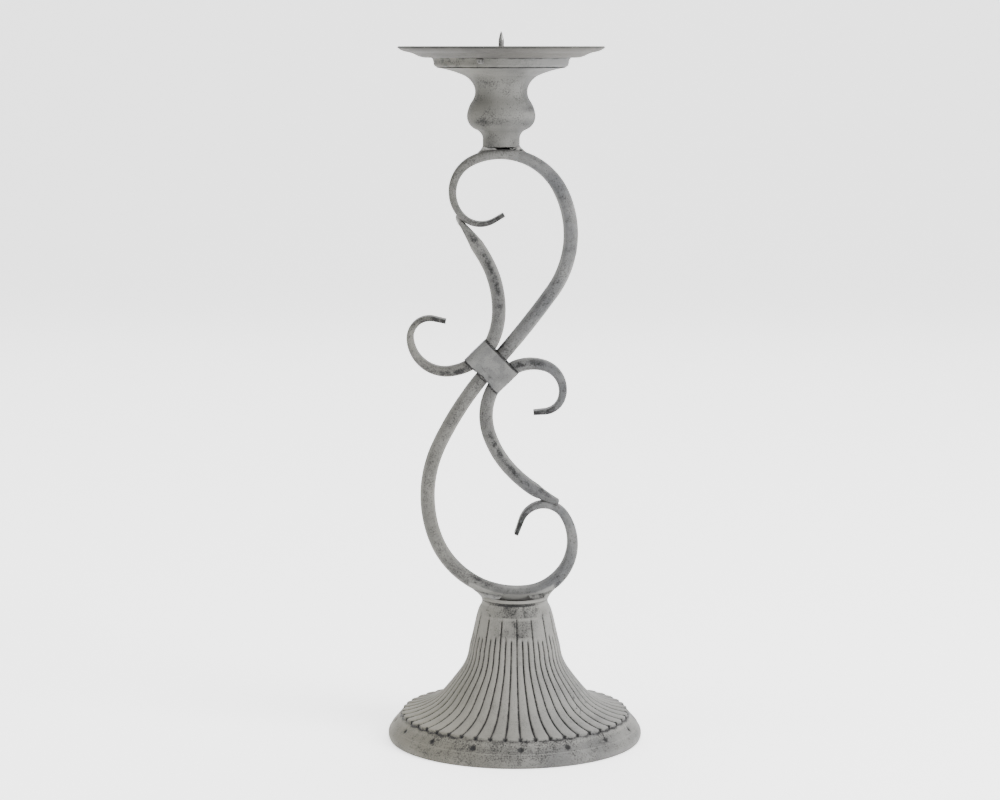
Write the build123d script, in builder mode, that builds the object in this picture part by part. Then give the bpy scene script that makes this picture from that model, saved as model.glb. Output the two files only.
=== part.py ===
from build123d import *
import os
from math import copysign, cos, pi, radians, sin

# Pillar candle holder of painted steel: a fluted bell base, a scroll stem of three bent tubes
# held by a wrapped collar, a spun baluster, a seat cup, a drip pan and a candle spike.
# Millimetres. Z is up, X runs to the right across the scrolls and the front faces -Y.
# The origin is on the floor, on the axis of the base.

os.makedirs("parts", exist_ok=True)

# ---------------------------------------------------------------- driving dimensions
HEIGHT = 380.0  # floor to the tip of the spike
PAN_AXIS_X = -7.4  # the pan and baluster sit a little to the left of the base's axis

BASE_SHEET = 1.2
BASE_RADIUS = 68.8
HEM_WIDTH = 2.6  # turned-in bottom edge that rests on the floor
RIM_HEIGHT = 5.2  # height of the rolled outer rim
FLUTE_END_RADIUS = 60.4
FLUTE_END_Z = 14.2
NECK_RADIUS = 17.8
NECK_TOP = 76.0
MAJOR_FLUTES = 16
FLUTES_PER_MAJOR = 3
MAJOR_GROOVE_TOP = 69.6
MINOR_GROOVE_TOP = 57.8
GROOVE_WIDTH = 0.8
GROOVE_DEPTH = 0.5
GROOVE_CLEARANCE = 1.0  # how far the groove cutter stands out of the surface
GROOVE_BOTTOM = 13.6
FLUTE_TURN = 2.5  # degrees that the front groove stands to the right of the front
DIMPLE_RADIUS = 1.3
DIMPLE_CIRCLE = 65.6
DIMPLE_Z = 9.6

NECK_RING_TOP = 78.0
NECK_RING_RADIUS = 18.2
NECK_RING_BORE = 16.2
NECK_RING_ROUND = 0.8

MAIN_TUBE = 7.8
SIDE_TUBE = 7.4
TUBE_WALL = 0.9
CRUSHED_THICKNESS = 2.4  # two walls pressed together at a tube's end
CRUSHED_EXPONENT = 4.5  # squareness of a fully crushed section
SLIT_OVERRUN = 0.5
MIDDLE_SWELL = 0.05
MIDDLE_LENGTH = 2.0
MIDDLE_GAP = 0.3  # from the tube's middle to where each half begins
SECTION_POINTS = 24
SECTION_SPACING = 11.0
SECTION_TURN = 24.0  # degrees between sections on a tight bend

COLLAR_X = -12.0
COLLAR_Z = 203.1
STEM_SLOPE = 228.0  # direction of the three tubes through the collar
COLLAR_SLIP = 0.9  # the strip sits this far down the tubes
COLLAR_SLOPE = 224.5  # the strip is wrapped a little askew
COLLAR_WIDTH = 15.7  # of the strip, along the tubes
COLLAR_LENGTH = 25.6  # across the three tubes
COLLAR_SHEET = 1.1
COLLAR_CORNER = 4.4
COLLAR_PLAY = 0.2
COLLAR_LAP = 14.0  # where the ends of the strip overlap at the back
SIDE_OFFSET = 7.7  # centre distance between neighbouring tubes in the collar

BALUSTER_SHEET = 1.0
BALUSTER_BOTTOM = 319.5
BALUSTER_TOP = 361.2

CUP_SHEET = 0.9
CUP_FLOOR = 361.3
CUP_TOP = 366.1

PAN_SHEET = 0.9
PAN_FLOOR = 366.2  # underside of the pan's flat floor
PAN_RADIUS = 54.9
PAN_RIM = 371.6  # underside of the pan's rim

SPIKE_RADIUS = 1.45
SPIKE_NECK_RADIUS = 1.9  # thicker root that fills the hole in the pan
SPIKE_SHOULDER = 375.9
SPIKE_TIP_RADIUS = 0.2
SPIKE_HEAD_RADIUS = 4.5
SPIKE_HEAD = 0.9


# ---------------------------------------------------------------- helpers
def bent_half(start, heading, side, bends, tip):
    """Centreline of half a scroll in the XZ plane, bent outwards from the collar: arcs of
    (radius, degrees), turning left for side 1 and right for side -1, then a straight tip."""
    with BuildLine(Plane.XZ) as line:
        direction = (cos(radians(heading)), sin(radians(heading)))
        at = start
        for radius, angle in bends:
            arc = JernArc(start=at, tangent=direction, radius=radius, arc_size=side * angle)
            at, direction = arc @ 1, arc % 1
        if tip > 0:
            Line(at, at + direction * tip)
    return line.wire()


def stations(half, bends, tip):
    """Distances along a half scroll at which its section is drawn."""
    marks = [0.0]
    for radius, angle in bends:
        length = radius * radians(angle)
        steps = max(round(length / SECTION_SPACING), round(angle / SECTION_TURN), 1)
        marks += [marks[-1] + length * (i + 1) / steps for i in range(steps)]
    if tip > 0:
        marks += [marks[-1] + tip / 2, half.length]
    marks[-1] = half.length
    return marks


def tube_section(plane, diameter, thickness, inset):
    """A squeezed tube's section: a superellipse with the round tube's girth, made smaller by
    inset all round. A crushed section is squarer than a round one."""
    depth = thickness + pi / 2 * (diameter - thickness)
    crushing = (diameter - thickness) / (diameter - CRUSHED_THICKNESS)
    exponent = 2 + (CRUSHED_EXPONENT - 2) * crushing
    half_depth = depth / 2 - inset
    half_thickness = thickness / 2 - inset
    points = []
    for i in range(SECTION_POINTS):
        angle = 2 * pi * i / SECTION_POINTS
        across = copysign(abs(cos(angle)) ** (2 / exponent), cos(angle))
        up = copysign(abs(sin(angle)) ** (2 / exponent), sin(angle))
        points.append((half_depth * across, half_thickness * up))
    with BuildSketch(plane) as section:
        with BuildLine():
            Spline(*points, periodic=True)
        make_face()
    return section.sketch


def tube_sections(half_tube, diameter, inset=0, overrun=0):
    """Sections of half a tube, from the collar to its tip. The half is (centreline, bends,
    straight tip, length over which the tube is crushed). The last section stands off the tip by
    overrun."""
    half, bends, tip, crush = half_tube
    sections = []
    for mark in stations(half, bends, tip):
        squeeze = min((half.length - mark) / crush, 1)
        thickness = CRUSHED_THICKNESS + (diameter - CRUSHED_THICKNESS) * squeeze
        at = half.position_at(mark, position_mode=PositionMode.LENGTH)
        ahead = half.tangent_at(mark, position_mode=PositionMode.LENGTH)
        if mark == 0:
            at = at + ahead * MIDDLE_GAP
        if mark == half.length:
            at = at + ahead * overrun
        plane = Plane(origin=at, x_dir=(0, 1, 0), z_dir=ahead)
        sections.append(tube_section(plane, diameter, thickness, inset))
    return sections


def hollow_half(half_tube, diameter):
    """Half a tube, open at its tip and at the collar, where the other half carries on."""
    with BuildPart() as tube:
        loft(tube_sections(half_tube, diameter))
        loft(tube_sections(half_tube, diameter, TUBE_WALL, SLIT_OVERRUN), mode=Mode.SUBTRACT)
    return tube.part


def bent_tube(halves, diameter):
    """A whole tube. Inside the collar its halves run into a short stretch of very slightly
    thicker wall."""
    with BuildPart() as tube:
        for half_tube in halves:
            add(hollow_half(half_tube, diameter))
        half = halves[0][0]
        with BuildSketch(Plane(origin=half @ 0, x_dir=(0, 1, 0), z_dir=half % 0)):
            Circle(diameter / 2 + MIDDLE_SWELL)
            Circle(diameter / 2 - TUBE_WALL - MIDDLE_SWELL, mode=Mode.SUBTRACT)
        extrude(amount=MIDDLE_LENGTH / 2, both=True)
    return tube.part


def bead(centre, size, tilt=0):
    """A weld bead: an egg-shaped lump, tilted about the Y axis."""
    with BuildPart() as lump:
        Sphere(0.5)
        scale(by=size)
    return lump.part.moved(Location(centre, (0, tilt, 0)))


# ---------------------------------------------------------------- fluted bell base
def base_outline():
    """The bell's outer surface, from the bottom of the rim to the top of the neck."""
    rim = ThreePointArc((68.2, 0), (BASE_RADIUS, 2.3), (67.9, RIM_HEIGHT))
    band = Line(rim @ 1, (61.7, 12.9))
    step = Line(band @ 1, (FLUTE_END_RADIUS, FLUTE_END_Z))
    line = ThreePointArc(step @ 1, (53.5, 15.4), (46.7, 18.1))
    for point in ((37.7, 25), (29.2, 36), (24.3, 50)):
        line = TangentArc(line @ 1, point, tangent=line % 1)
    line = Line(line @ 1, (20.7, 66))
    for point in ((19.6, 70.0), (NECK_RADIUS, 73.6)):
        line = TangentArc(line @ 1, point, tangent=line % 1)
    Line(line @ 1, (NECK_RADIUS, NECK_TOP))


grooves = []
for groove_top in (MAJOR_GROOVE_TOP, MINOR_GROOVE_TOP):
    with BuildPart() as groove:
        with BuildSketch(Plane.XZ):
            with BuildLine():
                base_outline()
                offset(amount=GROOVE_DEPTH, side=Side.LEFT)
            make_face()
            with BuildLine():
                base_outline()
                offset(amount=GROOVE_CLEARANCE, side=Side.RIGHT)
            make_face()
            Rectangle(3 * BASE_RADIUS, 2 * GROOVE_BOTTOM, mode=Mode.SUBTRACT)
            with Locations((0, groove_top)):
                Rectangle(
                    3 * BASE_RADIUS, HEIGHT,
                    align=(Align.CENTER, Align.MIN), mode=Mode.SUBTRACT,
                )
        extrude(amount=GROOVE_WIDTH / 2, both=True)
    grooves.append(groove.part)
major_groove, minor_groove = grooves

with BuildPart() as base:
    with BuildSketch(Plane.XZ):
        with BuildLine():
            base_outline()
            offset(amount=BASE_SHEET, side=Side.LEFT)
        make_face()
        with Locations((68.2, 0)):
            Rectangle(HEM_WIDTH, BASE_SHEET, align=(Align.MAX, Align.MIN))
        Rectangle(2 * BASE_RADIUS + 2, 4, align=(Align.CENTER, Align.MAX), mode=Mode.SUBTRACT)
    revolve(axis=Axis.Z)
    first_groove = FLUTE_TURN - 90
    with PolarLocations(0, MAJOR_FLUTES, start_angle=first_groove):
        add(major_groove, mode=Mode.SUBTRACT)
    for reed in range(1, FLUTES_PER_MAJOR):
        turn = first_groove + reed * 360 / (MAJOR_FLUTES * FLUTES_PER_MAJOR)
        with PolarLocations(0, MAJOR_FLUTES, start_angle=turn):
            add(minor_groove, mode=Mode.SUBTRACT)
    with Locations((0, 0, DIMPLE_Z)):
        with PolarLocations(DIMPLE_CIRCLE, MAJOR_FLUTES, start_angle=first_groove):
            Sphere(DIMPLE_RADIUS, mode=Mode.SUBTRACT)
base.part.label = "base"
export_step(base.part, "parts/base.step")

# ---------------------------------------------------------------- ring on the base's neck
with BuildPart() as neck_ring:
    with BuildSketch(Plane.XY.offset(NECK_TOP)):
        Circle(NECK_RING_RADIUS)
        Circle(NECK_RING_BORE, mode=Mode.SUBTRACT)
    extrude(amount=NECK_RING_TOP - NECK_TOP)
    rims = neck_ring.edges().filter_by(GeomType.CIRCLE).sort_by(SortBy.RADIUS)[-2:]
    fillet(rims, radius=NECK_RING_ROUND)
neck_ring.part.label = "neck_ring"
export_step(neck_ring.part, "parts/neck_ring.step")

# ---------------------------------------------------------------- main scroll, one bent tube
collar_along = (cos(radians(STEM_SLOPE)), sin(radians(STEM_SLOPE)))
collar_across = (-collar_along[1], collar_along[0])


def in_collar(along, across):
    """A point in the XZ plane, from the collar's centre, down along the tubes and across."""
    x = COLLAR_X + along * collar_along[0] + across * collar_across[0]
    z = COLLAR_Z + along * collar_along[1] + across * collar_across[1]
    return (x, z)


def half_scroll(along, across, upwards, side, bends, tip, crush):
    """Half a scroll from its place in the collar, as tube_sections needs it."""
    heading = STEM_SLOPE + (180 if upwards else 0)
    half = bent_half(in_collar(along, across), heading, side, bends, tip)
    return (half, bends, tip, crush)


main_upper = half_scroll(
    0, 0, True, 1, [(450, 6.5), (52, 62.5), (35, 90), (18.5, 102.5), (14, 81)], 6, 116
)
main_lower = half_scroll(
    0, 0, False, 1, [(180, 16.5), (65, 45), (47, 78), (27.5, 115.5), (13, 127)], 8, 77
)
with BuildPart() as main_scroll:
    add(bent_tube([main_upper, main_lower], MAIN_TUBE))
main_scroll.part.label = "main_scroll"
export_step(main_scroll.part, "parts/main_scroll.step")

# ---------------------------------------------------------------- two side scrolls
upper_side_up = half_scroll(
    -1.5, -SIDE_OFFSET, True, 1, [(29, 23), (40, 16.8), (55, 33.1), (195, 6.6)], 0, 15
)
upper_side_down = half_scroll(
    -1.5, -SIDE_OFFSET, False, -1, [(29, 41), (19, 91), (10.5, 108.5)], 6.5, 81
)
with BuildPart() as upper_side_scroll:
    add(bent_tube([upper_side_up, upper_side_down], SIDE_TUBE))
upper_side_scroll.part.label = "upper_side_scroll"
export_step(upper_side_scroll.part, "parts/upper_side_scroll.step")

lower_side_up = half_scroll(
    1.9, SIDE_OFFSET, True, -1, [(22.5, 65), (14, 88.5), (10.5, 70)], 6, 56
)
lower_side_down = half_scroll(
    1.9, SIDE_OFFSET, False, 1, [(31, 60.4), (53, 23.7), (70, 24.4)], 2.5, 14
)
with BuildPart() as lower_side_scroll:
    add(bent_tube([lower_side_up, lower_side_down], SIDE_TUBE))
lower_side_scroll.part.label = "lower_side_scroll"
export_step(lower_side_scroll.part, "parts/lower_side_scroll.step")

# ---------------------------------------------------------------- wrapped collar
collar_x, collar_z = in_collar(COLLAR_SLIP, 0)
collar_turn = radians(COLLAR_SLOPE)
collar_plane = Plane(
    origin=(collar_x, 0, collar_z),
    x_dir=(-sin(collar_turn), 0, cos(collar_turn)),
    z_dir=(cos(collar_turn), 0, sin(collar_turn)),
)
collar_depth = MAIN_TUBE + 2 * COLLAR_SHEET + COLLAR_PLAY
with BuildPart() as collar:
    with BuildSketch(collar_plane):
        RectangleRounded(COLLAR_LENGTH, collar_depth, COLLAR_CORNER)
        RectangleRounded(
            COLLAR_LENGTH - 2 * COLLAR_SHEET, collar_depth - 2 * COLLAR_SHEET,
            COLLAR_CORNER - COLLAR_SHEET, mode=Mode.SUBTRACT,
        )
    extrude(amount=COLLAR_WIDTH / 2, both=True)
    back = -collar_plane.y_dir.Y
    with BuildSketch(collar_plane):
        with Locations((0, copysign(collar_depth / 2, -back))):
            Rectangle(COLLAR_LAP, 2 * COLLAR_SHEET)
    extrude(amount=COLLAR_WIDTH / 2, both=True)
collar.part.label = "collar"
export_step(collar.part, "parts/collar.step")

# ---------------------------------------------------------------- spun baluster
pan_axis = Axis((PAN_AXIS_X, 0, 0), (0, 0, 1))
pan_plane = Plane(origin=(PAN_AXIS_X, 0, 0), x_dir=(1, 0, 0), z_dir=(0, -1, 0))

with BuildPart() as baluster:
    with BuildSketch(pan_plane):
        with BuildLine():
            line = Line((9.8, BALUSTER_BOTTOM), (9.8, 323.6))
            for point in (
                (13.2, 328.5), (18.1, 336.4), (15.3, 343.8), (14.6, 351.8), (20.3, 357.2),
                (34.1, BALUSTER_TOP - 0.2),
            ):
                line = TangentArc(line @ 1, point, tangent=line % 1)
            offset(amount=BALUSTER_SHEET, side=Side.LEFT)
        make_face()
        with Locations((0, CUP_FLOOR)):
            Rectangle(
                2 * PAN_RADIUS, HEIGHT, align=(Align.CENTER, Align.MIN), mode=Mode.SUBTRACT
            )
    revolve(axis=pan_axis)
baluster.part.label = "baluster"
export_step(baluster.part, "parts/baluster.step")

# ---------------------------------------------------------------- seat cup under the pan
with BuildPart() as seat_cup:
    with BuildSketch(pan_plane):
        with BuildLine():
            line = Line((0, CUP_FLOOR), (33.6, CUP_FLOOR))
            for point in ((35.8, 363.3), (36.9, CUP_TOP)):
                line = TangentArc(line @ 1, point, tangent=line % 1)
            offset(amount=CUP_SHEET, side=Side.LEFT)
        make_face()
        with Locations((0, PAN_FLOOR)):
            Rectangle(
                2 * PAN_RADIUS, HEIGHT, align=(Align.CENTER, Align.MIN), mode=Mode.SUBTRACT
            )
    revolve(axis=pan_axis)
seat_cup.part.label = "seat_cup"
export_step(seat_cup.part, "parts/seat_cup.step")

# ---------------------------------------------------------------- drip pan
with BuildPart() as drip_pan:
    with BuildSketch(pan_plane):
        with BuildLine():
            line = Line((0, PAN_FLOOR), (39.4, PAN_FLOOR))
            for point in ((44.9, 367.6), (49.7, 369.2), (PAN_RADIUS, PAN_RIM)):
                line = TangentArc(line @ 1, point, tangent=line % 1)
            offset(amount=PAN_SHEET, side=Side.LEFT)
        make_face()
        with Locations((0, PAN_FLOOR)):
            Rectangle(2 * SPIKE_NECK_RADIUS, 4 * PAN_SHEET, mode=Mode.SUBTRACT)
    revolve(axis=pan_axis)
drip_pan.part.label = "drip_pan"
export_step(drip_pan.part, "parts/drip_pan.step")

# ---------------------------------------------------------------- candle spike, a nail
with BuildPart() as spike:
    with BuildSketch(pan_plane):
        with BuildLine():
            Polyline(
                (0, PAN_FLOOR - SPIKE_HEAD), (SPIKE_HEAD_RADIUS, PAN_FLOOR - SPIKE_HEAD),
                (SPIKE_HEAD_RADIUS, PAN_FLOOR), (SPIKE_NECK_RADIUS, PAN_FLOOR),
                (SPIKE_NECK_RADIUS, PAN_FLOOR + PAN_SHEET), (SPIKE_RADIUS, PAN_FLOOR + PAN_SHEET),
                (SPIKE_RADIUS, SPIKE_SHOULDER), (SPIKE_TIP_RADIUS, HEIGHT), (0, HEIGHT), close=True,
            )
        make_face()
    revolve(axis=pan_axis)
spike.part.label = "spike"
export_step(spike.part, "parts/spike.step")

# ---------------------------------------------------------------- welds
welds = {
    "neck_weld_left": bead((-17.8, 0, 79.5), (12.5, 17.0, 4.8), 32),
    "neck_weld_right": bead((17.0, 0, 79.4), (10.5, 17.0, 4.8), -38),
    "baluster_weld_left": bead((-12.6, 0, 318.6), (7.4, 17.0, 3.6), -15),
    "baluster_weld_right": bead((0.4, 0, 318.5), (8.8, 17.4, 4.0), 12),
    "upper_tip_weld": bead((-29.0, 0, 279.6), (9.0, 6.6, 3.4), 60),
    "lower_tip_weld": bead((23.8, 0, 125.6), (12.5, 6.6, 2.8), 50),
    "pan_tack_weld": bead((-18.0, -34.6, 364.8), (4.2, 3.4, 3.6)),
}
for name, lump in welds.items():
    with BuildPart() as weld:
        add(lump)
    weld.part.label = name
    export_step(weld.part, f"parts/{name}.step")
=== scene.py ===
from functools import reduce
from math import cos, pi, radians, sin
from types import SimpleNamespace

import bmesh
import bpy
import numpy as np
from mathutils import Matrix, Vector, noise


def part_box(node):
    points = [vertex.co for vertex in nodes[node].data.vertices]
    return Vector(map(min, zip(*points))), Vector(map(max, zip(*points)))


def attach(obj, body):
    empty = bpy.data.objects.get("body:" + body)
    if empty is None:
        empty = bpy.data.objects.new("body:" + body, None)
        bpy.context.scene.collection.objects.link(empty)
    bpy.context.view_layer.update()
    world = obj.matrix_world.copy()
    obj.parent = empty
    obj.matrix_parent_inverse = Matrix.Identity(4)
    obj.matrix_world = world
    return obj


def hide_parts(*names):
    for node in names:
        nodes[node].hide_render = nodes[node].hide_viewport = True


# Pillar candle holder. Pieces are worked out in millimetres, and made into meshes in metres.
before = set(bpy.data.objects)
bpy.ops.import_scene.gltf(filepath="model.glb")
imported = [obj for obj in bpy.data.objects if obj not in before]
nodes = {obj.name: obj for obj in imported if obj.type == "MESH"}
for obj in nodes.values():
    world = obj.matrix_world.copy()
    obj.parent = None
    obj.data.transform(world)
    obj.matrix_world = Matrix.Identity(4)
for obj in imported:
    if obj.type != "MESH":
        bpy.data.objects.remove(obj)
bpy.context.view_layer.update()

MM = 0.001
rng = np.random.default_rng(7)


# ---------------- where the CAD parts are
def box_mm(node):
    """Lowest and highest corner of a CAD node, in millimetres."""
    low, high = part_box(node)
    return np.array(low) / MM, np.array(high) / MM


pan_low = box_mm("drip_pan")[0]
cup_low, cup_high = box_mm("seat_cup")
baluster_low, baluster_high = box_mm("baluster")
base_low, base_high = box_mm("base")
ring_low, ring_high = box_mm("neck_ring")
spike_low, spike_high = box_mm("spike")
PAN_X = (baluster_low[0] + baluster_high[0]) / 2
BASE_R = (base_high[0] - base_low[0]) / 2


# ---------------- mesh helpers
def add_object(name, data):
    obj = bpy.data.objects.new(name, data)
    bpy.context.scene.collection.objects.link(obj)
    return obj


def new_piece(name, points, faces, material, dark, light, node, merge=True):
    """A piece in place of a CAD node, from points in millimetres. Its two masks are kept as
    point attributes."""
    mesh = bpy.data.meshes.new(name)
    mesh.from_pydata((np.reshape(points, (-1, 3)) * MM).tolist(), [], faces)
    for key, values in (("dark", dark), ("light", light)):
        layer = mesh.attributes.new(key, "FLOAT", "POINT")
        layer.data.foreach_set("value", np.asarray(values, np.float32).ravel())
    if merge:
        bm = bmesh.new()
        bm.from_mesh(mesh)
        bmesh.ops.remove_doubles(bm, verts=bm.verts, dist=1e-7)
        bmesh.ops.recalc_face_normals(bm, faces=bm.faces)
        bm.to_mesh(mesh)
        bm.free()
    mesh.polygons.foreach_set("use_smooth", [True] * len(mesh.polygons))
    mesh.materials.append(material)
    obj = add_object(name, mesh)
    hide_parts(node)
    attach(obj, "root")


def ring_faces(rows, columns, ends="open"):
    """Quads over rows of points that each close into a ring. The last row joins the first
    where ends is "joined", and both are filled where it is "capped"."""
    faces = []
    for i in range(rows if ends == "joined" else rows - 1):
        below = ((i + 1) % rows) * columns
        for j in range(columns):
            k = (j + 1) % columns
            faces.append((i * columns + j, i * columns + k, below + k, below + j))
    if ends == "capped":
        faces.append(tuple(range(columns))[::-1])
        faces.append(tuple((rows - 1) * columns + j for j in range(columns)))
    return faces


def smooth_step(x):
    x = np.clip(x, 0, 1)
    return x * x * (3 - 2 * x)


def hump(x, middle, width):
    """1 at the middle, falling off smoothly on both sides."""
    return np.exp(-(((x - middle) / width) ** 2))


def strongest(*masks):
    """The largest of several masks at each point."""
    return reduce(np.maximum, masks)


def window(x, low, high, soft):
    """1 between low and high, falling to 0 over soft on each side."""
    return smooth_step((x - low) / soft + 1) * smooth_step((high - x) / soft + 1)


def noise_at(points, scale, seed):
    """Smooth noise, about -1 to 1, at each point in millimetres."""
    shift = Vector((seed * 17.3, seed * 5.1, seed * 9.7))
    flat = np.reshape(points, (-1, 3))
    values = np.array([noise.noise(Vector(p) / scale + shift) for p in flat])
    return values.reshape(np.shape(points)[:-1])


def round_axis(turn, r, z, centre_x=0.0):
    """Points at the given angles, distances from a vertical axis and heights."""
    return np.stack(np.broadcast_arrays(centre_x + r * np.cos(turn), r * np.sin(turn), z), -1)


def noise_round(turn, r, z, scale, seed):
    return noise_at(round_axis(turn, r, z), scale, seed)


# ---------------- materials
BARE = (0.010, 0.010, 0.010)  # the dark metal under the paint
MOTTLE = 0.9  # usual strength of the patches a few millimetres wide


class Shader:
    """A new material, with nodes that are wired as they are added."""

    def __init__(self, name):
        self.material = bpy.data.materials.new(name)
        self.material.use_nodes = True
        self.tree = self.material.node_tree

    def connect(self, node, inputs):
        """Link inputs, or set those that are plain values. Colours come without alpha."""
        for key, value in inputs.items():
            socket = node.inputs[key]
            if hasattr(value, "is_output"):
                self.tree.links.new(value, socket)
            elif socket.type == "RGBA":
                socket.default_value = (*value, 1.0)
            else:
                socket.default_value = value

    def add(self, kind, output, inputs=(), **settings):
        """The named output of a new node."""
        node = self.tree.nodes.new("ShaderNode" + kind)
        for key, value in settings.items():
            setattr(node, key, value)
        self.connect(node, dict(inputs))
        return node.outputs[output]

    def noise(self, vector, frequency, detail, roughness, distortion=0.0):
        return self.add("TexNoise", "Fac", {
            "Vector": vector, "Scale": frequency, "Detail": detail, "Roughness": roughness,
            "Distortion": distortion})

    def maths(self, op, *values):
        return self.add("Math", 0, enumerate(values), operation=op)

    def total(self, start, *terms):
        """start, plus each field times its gain."""
        for field, gain in terms:
            start = self.maths("MULTIPLY_ADD", field, gain, start)
        return start

    def span(self, value, low, high, to_low=0.0, to_high=1.0):
        return self.add("MapRange", "Result", {
            "Value": value, "From Min": low, "From Max": high, "To Min": to_low,
            "To Max": to_high}, interpolation_type="SMOOTHSTEP")

    def mix(self, factor, a, b):
        return self.add("Mix", 2, {"Factor": factor, 6: a, 7: b}, data_type="RGBA")

    def surface(self, inputs):
        """The material, once its surface has been given its inputs."""
        self.connect(self.tree.nodes["Principled BSDF"], inputs)
        return self.material


def aged_paint(name, grey, wash, wash_level, speckle, scale=1.0, warm=0.0, rings=0.0, bump=0.25,
               blotch=MOTTLE):
    """Whitewashed paint over dark metal: cloudy wash, fine speckle, and two masks on the mesh:
    dark, which carries wear, dirt and painted shade, and light, which carries painted highlights
    and paler patches."""
    shade = Shader(name)
    coord = shade.add("TexCoord", "Object")
    clouds = shade.noise(coord, 45 * scale, 3, 0.5, distortion=0.4)
    mottle = shade.noise(coord, 230 * scale, 4, 0.6)
    grain = shade.noise(coord, 1300 * scale, 4, 0.75)
    fine = shade.noise(coord, 2600 * scale, 3, 0.7)
    dark = shade.add("Attribute", "Fac", attribute_name="dark")
    light = shade.add("Attribute", "Fac", attribute_name="light")

    even = 0.5 * (MOTTLE - blotch)  # keeps the mean level where the mottle is weaker
    level = shade.total(wash_level + even - 2.05, (clouds, 1.1), (mottle, blotch),
                        (grain, 1.2 + speckle), (fine, 0.6), (light, 0.5), (dark, -0.35))
    colour = shade.mix(shade.span(level, 0.0, 0.9), grey, wash)
    # painted light: a warm tint towards the left, for the warmer light that falls there
    if warm > 0:
        across = shade.add("SeparateXYZ", "X", {0: coord})
        warm_light_tint = tuple(w * f for w, f in zip(wash, (0.80, 0.75, 0.57)))
        colour = shade.mix(shade.span(across, 0.03, -0.05, 0.0, warm), colour, warm_light_tint)
    if rings > 0:
        stretched = shade.add("Mapping", "Vector", {"Scale": (6, 6, 900), "Vector": coord})
        lines = shade.noise(stretched, 1.0, 3, 0.6)
        colour = shade.mix(shade.span(lines, 0.45, 0.75, 0.0, rings), colour, grey)
    pits = shade.span(grain, 0.57, 0.68, 0.0, speckle)
    pits = shade.maths("MULTIPLY", pits, shade.span(mottle, 0.36, 0.6))
    colour = shade.mix(pits, colour, tuple(0.35 * g for g in grey))
    pale = shade.span(fine, 0.60, 0.70, 0.0, 0.45 * speckle)
    colour = shade.mix(pale, colour, tuple(1.35 * w for w in wash))
    # bare dark metal where the dark mask is high: wear, and the painted shade that mask carries
    ragged = shade.total(even - 1.55, (mottle, blotch), (grain, 2.2))
    wear_and_shade = shade.span(shade.maths("ADD", dark, ragged), 0.14, 0.92)
    wear_and_shade = shade.maths("MULTIPLY", wear_and_shade, shade.span(dark, 0.02, 0.18))
    colour = shade.mix(wear_and_shade, colour, BARE)

    roughness = shade.total(0.5, (mottle, 0.24), (wear_and_shade, -0.12))
    height = shade.total(shade.maths("MULTIPLY", grain, 0.5), (mottle, 0.8), (wear_and_shade, -0.35))
    relief = shade.add("Bump", "Normal", {"Strength": bump, "Distance": 0.0004, "Height": height})
    return shade.surface({"Base Color": colour, "Specular IOR Level": 0.12,
                          "Roughness": roughness, "Normal": relief})


base_paint = aged_paint("base_paint", (0.066, 0.066, 0.066), (0.150, 0.148, 0.140), 0.55, 0.40,
                        warm=0.55)
tube_paint = aged_paint("tube_paint", (0.062, 0.063, 0.067), (0.160, 0.159, 0.153), 0.55, 0.42,
                        scale=1.1, warm=0.3, blotch=0.35)
collar_paint = aged_paint("collar_paint", (0.056, 0.056, 0.057), (0.108, 0.108, 0.104), 0.42, 0.55,
                          blotch=0.5)
cup_paint = aged_paint("cup_paint", (0.054, 0.055, 0.058), (0.124, 0.124, 0.121), 0.55, 0.36,
                       rings=0.12, warm=0.6)
pan_paint = aged_paint("pan_paint", (0.046, 0.044, 0.041), (0.072, 0.069, 0.063), 0.5, 0.25,
                       scale=1.3, rings=0.1)
# the welds' wash is paler as painted light, since they sit in shade
weld_paint = aged_paint("weld_paint", (0.110, 0.109, 0.104), (0.200, 0.197, 0.187), 0.6, 0.25,
                        bump=0.4)


def bare_steel():
    """A drawn nail: long fine scratches, patchy tarnish."""
    shade = Shader("bare_steel")
    coord = shade.add("TexCoord", "Object")
    stretched = shade.add("Mapping", "Vector", {"Scale": (2600, 2600, 160), "Vector": coord})
    scratches = shade.add("TexNoise", "Fac", {"Scale": 1.0, "Vector": stretched})
    colour = shade.add("ValToRGB", "Color", {"Fac": scratches})
    tarnish, bright = colour.node.color_ramp.elements
    tarnish.position, tarnish.color = 0.35, (0.035, 0.034, 0.032, 1)
    bright.position, bright.color = 0.6, (0.17, 0.17, 0.165, 1)
    roughness = shade.add("MapRange", "Result", {"To Min": 0.45, "To Max": 0.25, "Value": scratches})
    relief = shade.add("Bump", "Normal", {"Strength": 0.3, "Distance": 0.0001, "Height": scratches})
    return shade.surface({"Base Color": colour, "Metallic": 1.0, "Roughness": roughness,
                          "Normal": relief})


steel = bare_steel()


# ---------------- outlines
def arc_through(a, b, c, steps):
    """Points on the circle through three points, from a to c."""
    a, b, c = (np.array(p, float) for p in (a, b, c))
    d = 2 * (a[0] * (b[1] - c[1]) + b[0] * (c[1] - a[1]) + c[0] * (a[1] - b[1]))
    sq = [p @ p for p in (a, b, c)]
    centre = np.array([
        sq[0] * (b[1] - c[1]) + sq[1] * (c[1] - a[1]) + sq[2] * (a[1] - b[1]),
        sq[0] * (c[0] - b[0]) + sq[1] * (a[0] - c[0]) + sq[2] * (b[0] - a[0]),
    ]) / d
    start, middle, end = (np.arctan2(*(p - centre)[::-1]) for p in (a, b, c))
    turn = (end - start) % (2 * pi)
    if (middle - start) % (2 * pi) > turn:
        turn -= 2 * pi
    angles = start + turn * np.linspace(0, 1, steps)
    radius = np.hypot(*(a - centre))
    return centre + radius * np.stack([np.cos(angles), np.sin(angles)], axis=1)


def turned(v, angle):
    """A flat vector turned by an angle, or by each of several."""
    c, s = np.cos(angle), np.sin(angle)
    return np.stack([v[0] * c - v[1] * s, v[0] * s + v[1] * c], axis=-1)


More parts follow.
